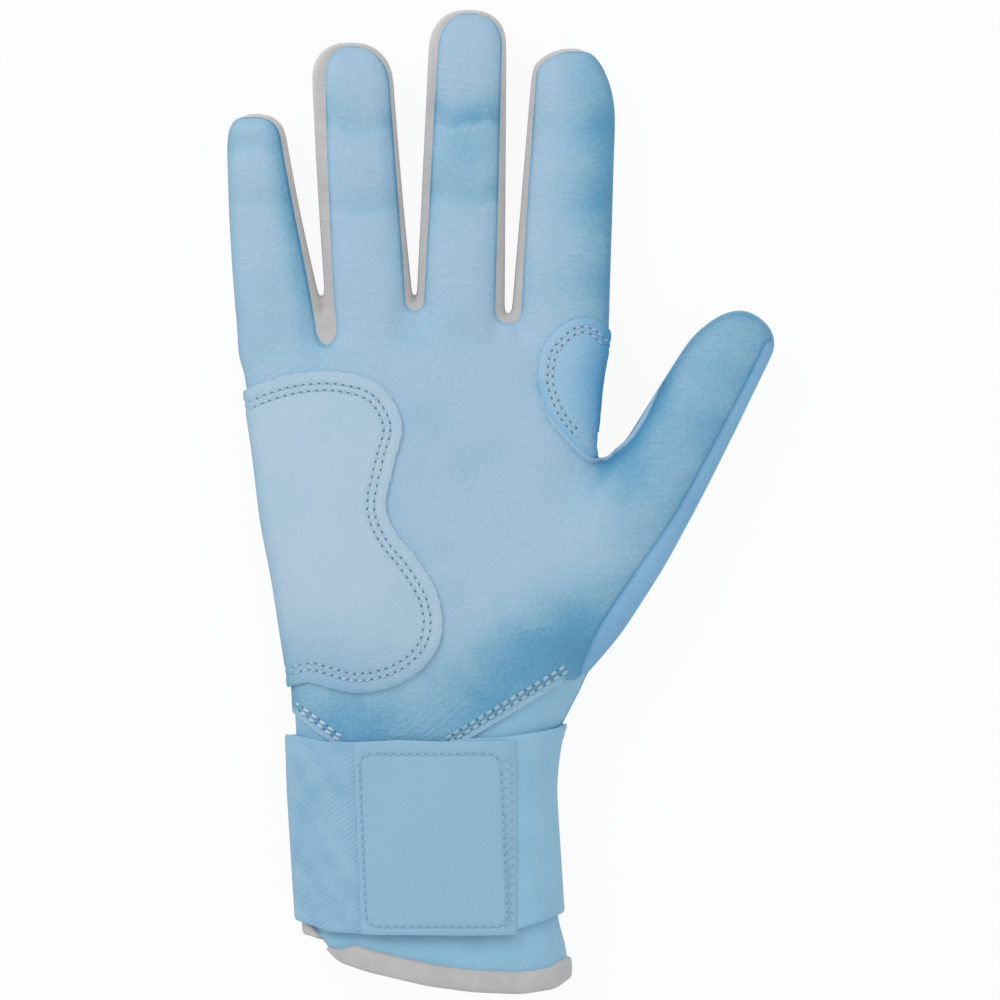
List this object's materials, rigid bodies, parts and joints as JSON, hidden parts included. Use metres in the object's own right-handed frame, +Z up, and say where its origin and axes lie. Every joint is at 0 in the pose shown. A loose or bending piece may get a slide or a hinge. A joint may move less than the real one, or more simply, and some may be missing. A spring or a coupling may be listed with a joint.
{
  "type": "batting glove",
  "caption": "Right-hand batting glove with a leather palm, a heel pad, stretch finger sidewalls and a wrapped wrist strap, lying palm up with fingers that bend.",
  "frame": {"origin": "middle of the bounding box in the plan view, on the table plane under the back of the hand", "axes": "+X towards the thumb, +Y towards the fingertips, +Z up out of the palm; the glove lies on its back"},
  "size_m": [0.1366, 0.2464, 0.0353],
  "materials": {
    "palm_leather": "soft grained",
    "back_leather": "soft matt",
    "patch_leather": "suede-like matt",
    "stretch_fabric": "knitted matt",
    "binding_tape": "woven matt",
    "cuff_fabric": "knitted matt",
    "webbing": "ribbed woven",
    "tab_sheet": "embossed matt",
    "hook_tape": "hooked pile"
  },
  "bodies": {
    "hand": {"palm_panel": "palm_leather", "back_panel": "back_leather", "heel_pad": "patch_leather", "crotch_patch": "patch_leather", "web_pinky_ring": "stretch_fabric", "web_ring_middle": "stretch_fabric", "web_middle_index": "stretch_fabric", "cuff_flap": "cuff_fabric", "cuff_back": "cuff_fabric", "hem_binding": "binding_tape", "strap_band": "webbing"},
    "strap": {"strap_elastic": "webbing", "strap_tab": "tab_sheet", "hook_patch": "hook_tape"},
    "pinky_base": {"pinky_base_palm": "palm_leather", "pinky_base_back": "back_leather", "pinky_base_sidewall_thumb_side": "stretch_fabric"},
    "pinky_tip": {"pinky_tip_palm": "palm_leather", "pinky_tip_back": "back_leather", "pinky_tip_sidewall": "stretch_fabric"},
    "ring_base": {"ring_base_palm": "palm_leather", "ring_base_back": "back_leather", "ring_base_sidewall_pinky_side": "stretch_fabric", "ring_base_sidewall_thumb_side": "stretch_fabric"},
    "ring_tip": {"ring_tip_palm": "palm_leather", "ring_tip_back": "back_leather", "ring_tip_sidewall": "stretch_fabric"},
    "middle_base": {"middle_base_palm": "palm_leather", "middle_base_back": "back_leather", "middle_base_sidewall_pinky_side": "stretch_fabric", "middle_base_sidewall_thumb_side": "stretch_fabric"},
    "middle_tip": {"middle_tip_palm": "palm_leather", "middle_tip_back": "back_leather", "middle_tip_sidewall": "stretch_fabric"},
    "index_base": {"index_base_palm": "palm_leather", "index_base_back": "back_leather", "index_base_sidewall_pinky_side": "stretch_fabric"},
    "index_tip": {"index_tip_palm": "palm_leather", "index_tip_back": "back_leather", "index_tip_sidewall": "stretch_fabric"},
    "thumb_base": {"thumb_base_palm": "palm_leather", "thumb_base_back": "back_leather"},
    "thumb_tip": {"thumb_tip_palm": "palm_leather", "thumb_tip_back": "back_leather"}
  },
  "joints": [
    {"name": "pinky_knuckle", "type": "hinge", "parent": "hand", "child": "pinky_base", "pos_m": [-0.05441, 0.04246, 0.01615], "axis": [1, 0, 0], "range_deg": [0, 80]},
    {"name": "pinky_crease", "type": "hinge", "parent": "pinky_base", "child": "pinky_tip", "pos_m": [-0.0585, 0.07446, 0.01469], "axis": [1, 0, 0], "range_deg": [0, 90]},
    {"name": "ring_knuckle", "type": "hinge", "parent": "hand", "child": "ring_base", "pos_m": [-0.03201, 0.04996, 0.01765], "axis": [1, 0, 0], "range_deg": [0, 80]},
    {"name": "ring_crease", "type": "hinge", "parent": "ring_base", "child": "ring_tip", "pos_m": [-0.03397, 0.07446, 0.01671], "axis": [1, 0, 0], "range_deg": [0, 90]},
    {"name": "middle_knuckle", "type": "hinge", "parent": "hand", "child": "middle_base", "pos_m": [-0.00931, 0.04996, 0.01815], "axis": [1, 0, 0], "range_deg": [0, 80]},
    {"name": "middle_crease", "type": "hinge", "parent": "middle_base", "child": "middle_tip", "pos_m": [-0.00876, 0.07496, 0.0173], "axis": [1, 0, 0], "range_deg": [0, 90]},
    {"name": "index_knuckle", "type": "hinge", "parent": "hand", "child": "index_base", "pos_m": [0.01559, 0.04666, 0.01815], "axis": [1, 0, 0], "range_deg": [0, 80]},
    {"name": "index_crease", "type": "hinge", "parent": "index_base", "child": "index_tip", "pos_m": [0.01675, 0.07346, 0.01715], "axis": [1, 0, 0], "range_deg": [0, 90]},
    {"name": "thumb_knuckle", "type": "hinge", "parent": "hand", "child": "thumb_base", "pos_m": [0.04061, 0.0067, 0.02475], "axis": [0.8829, -0.4695, 0], "range_deg": [0, 45]},
    {"name": "thumb_crease", "type": "hinge", "parent": "thumb_base", "child": "thumb_tip", "pos_m": [0.04976, 0.02392, 0.02275], "axis": [0.8829, -0.4695, 0], "range_deg": [0, 60]},
    {"name": "strap_swing", "type": "hinge", "parent": "hand", "child": "strap", "pos_m": [-0.05282, -0.08104, 0.01456], "axis": [0.0513, -0.9987, 0], "range_deg": [0, 150]}
  ]
}
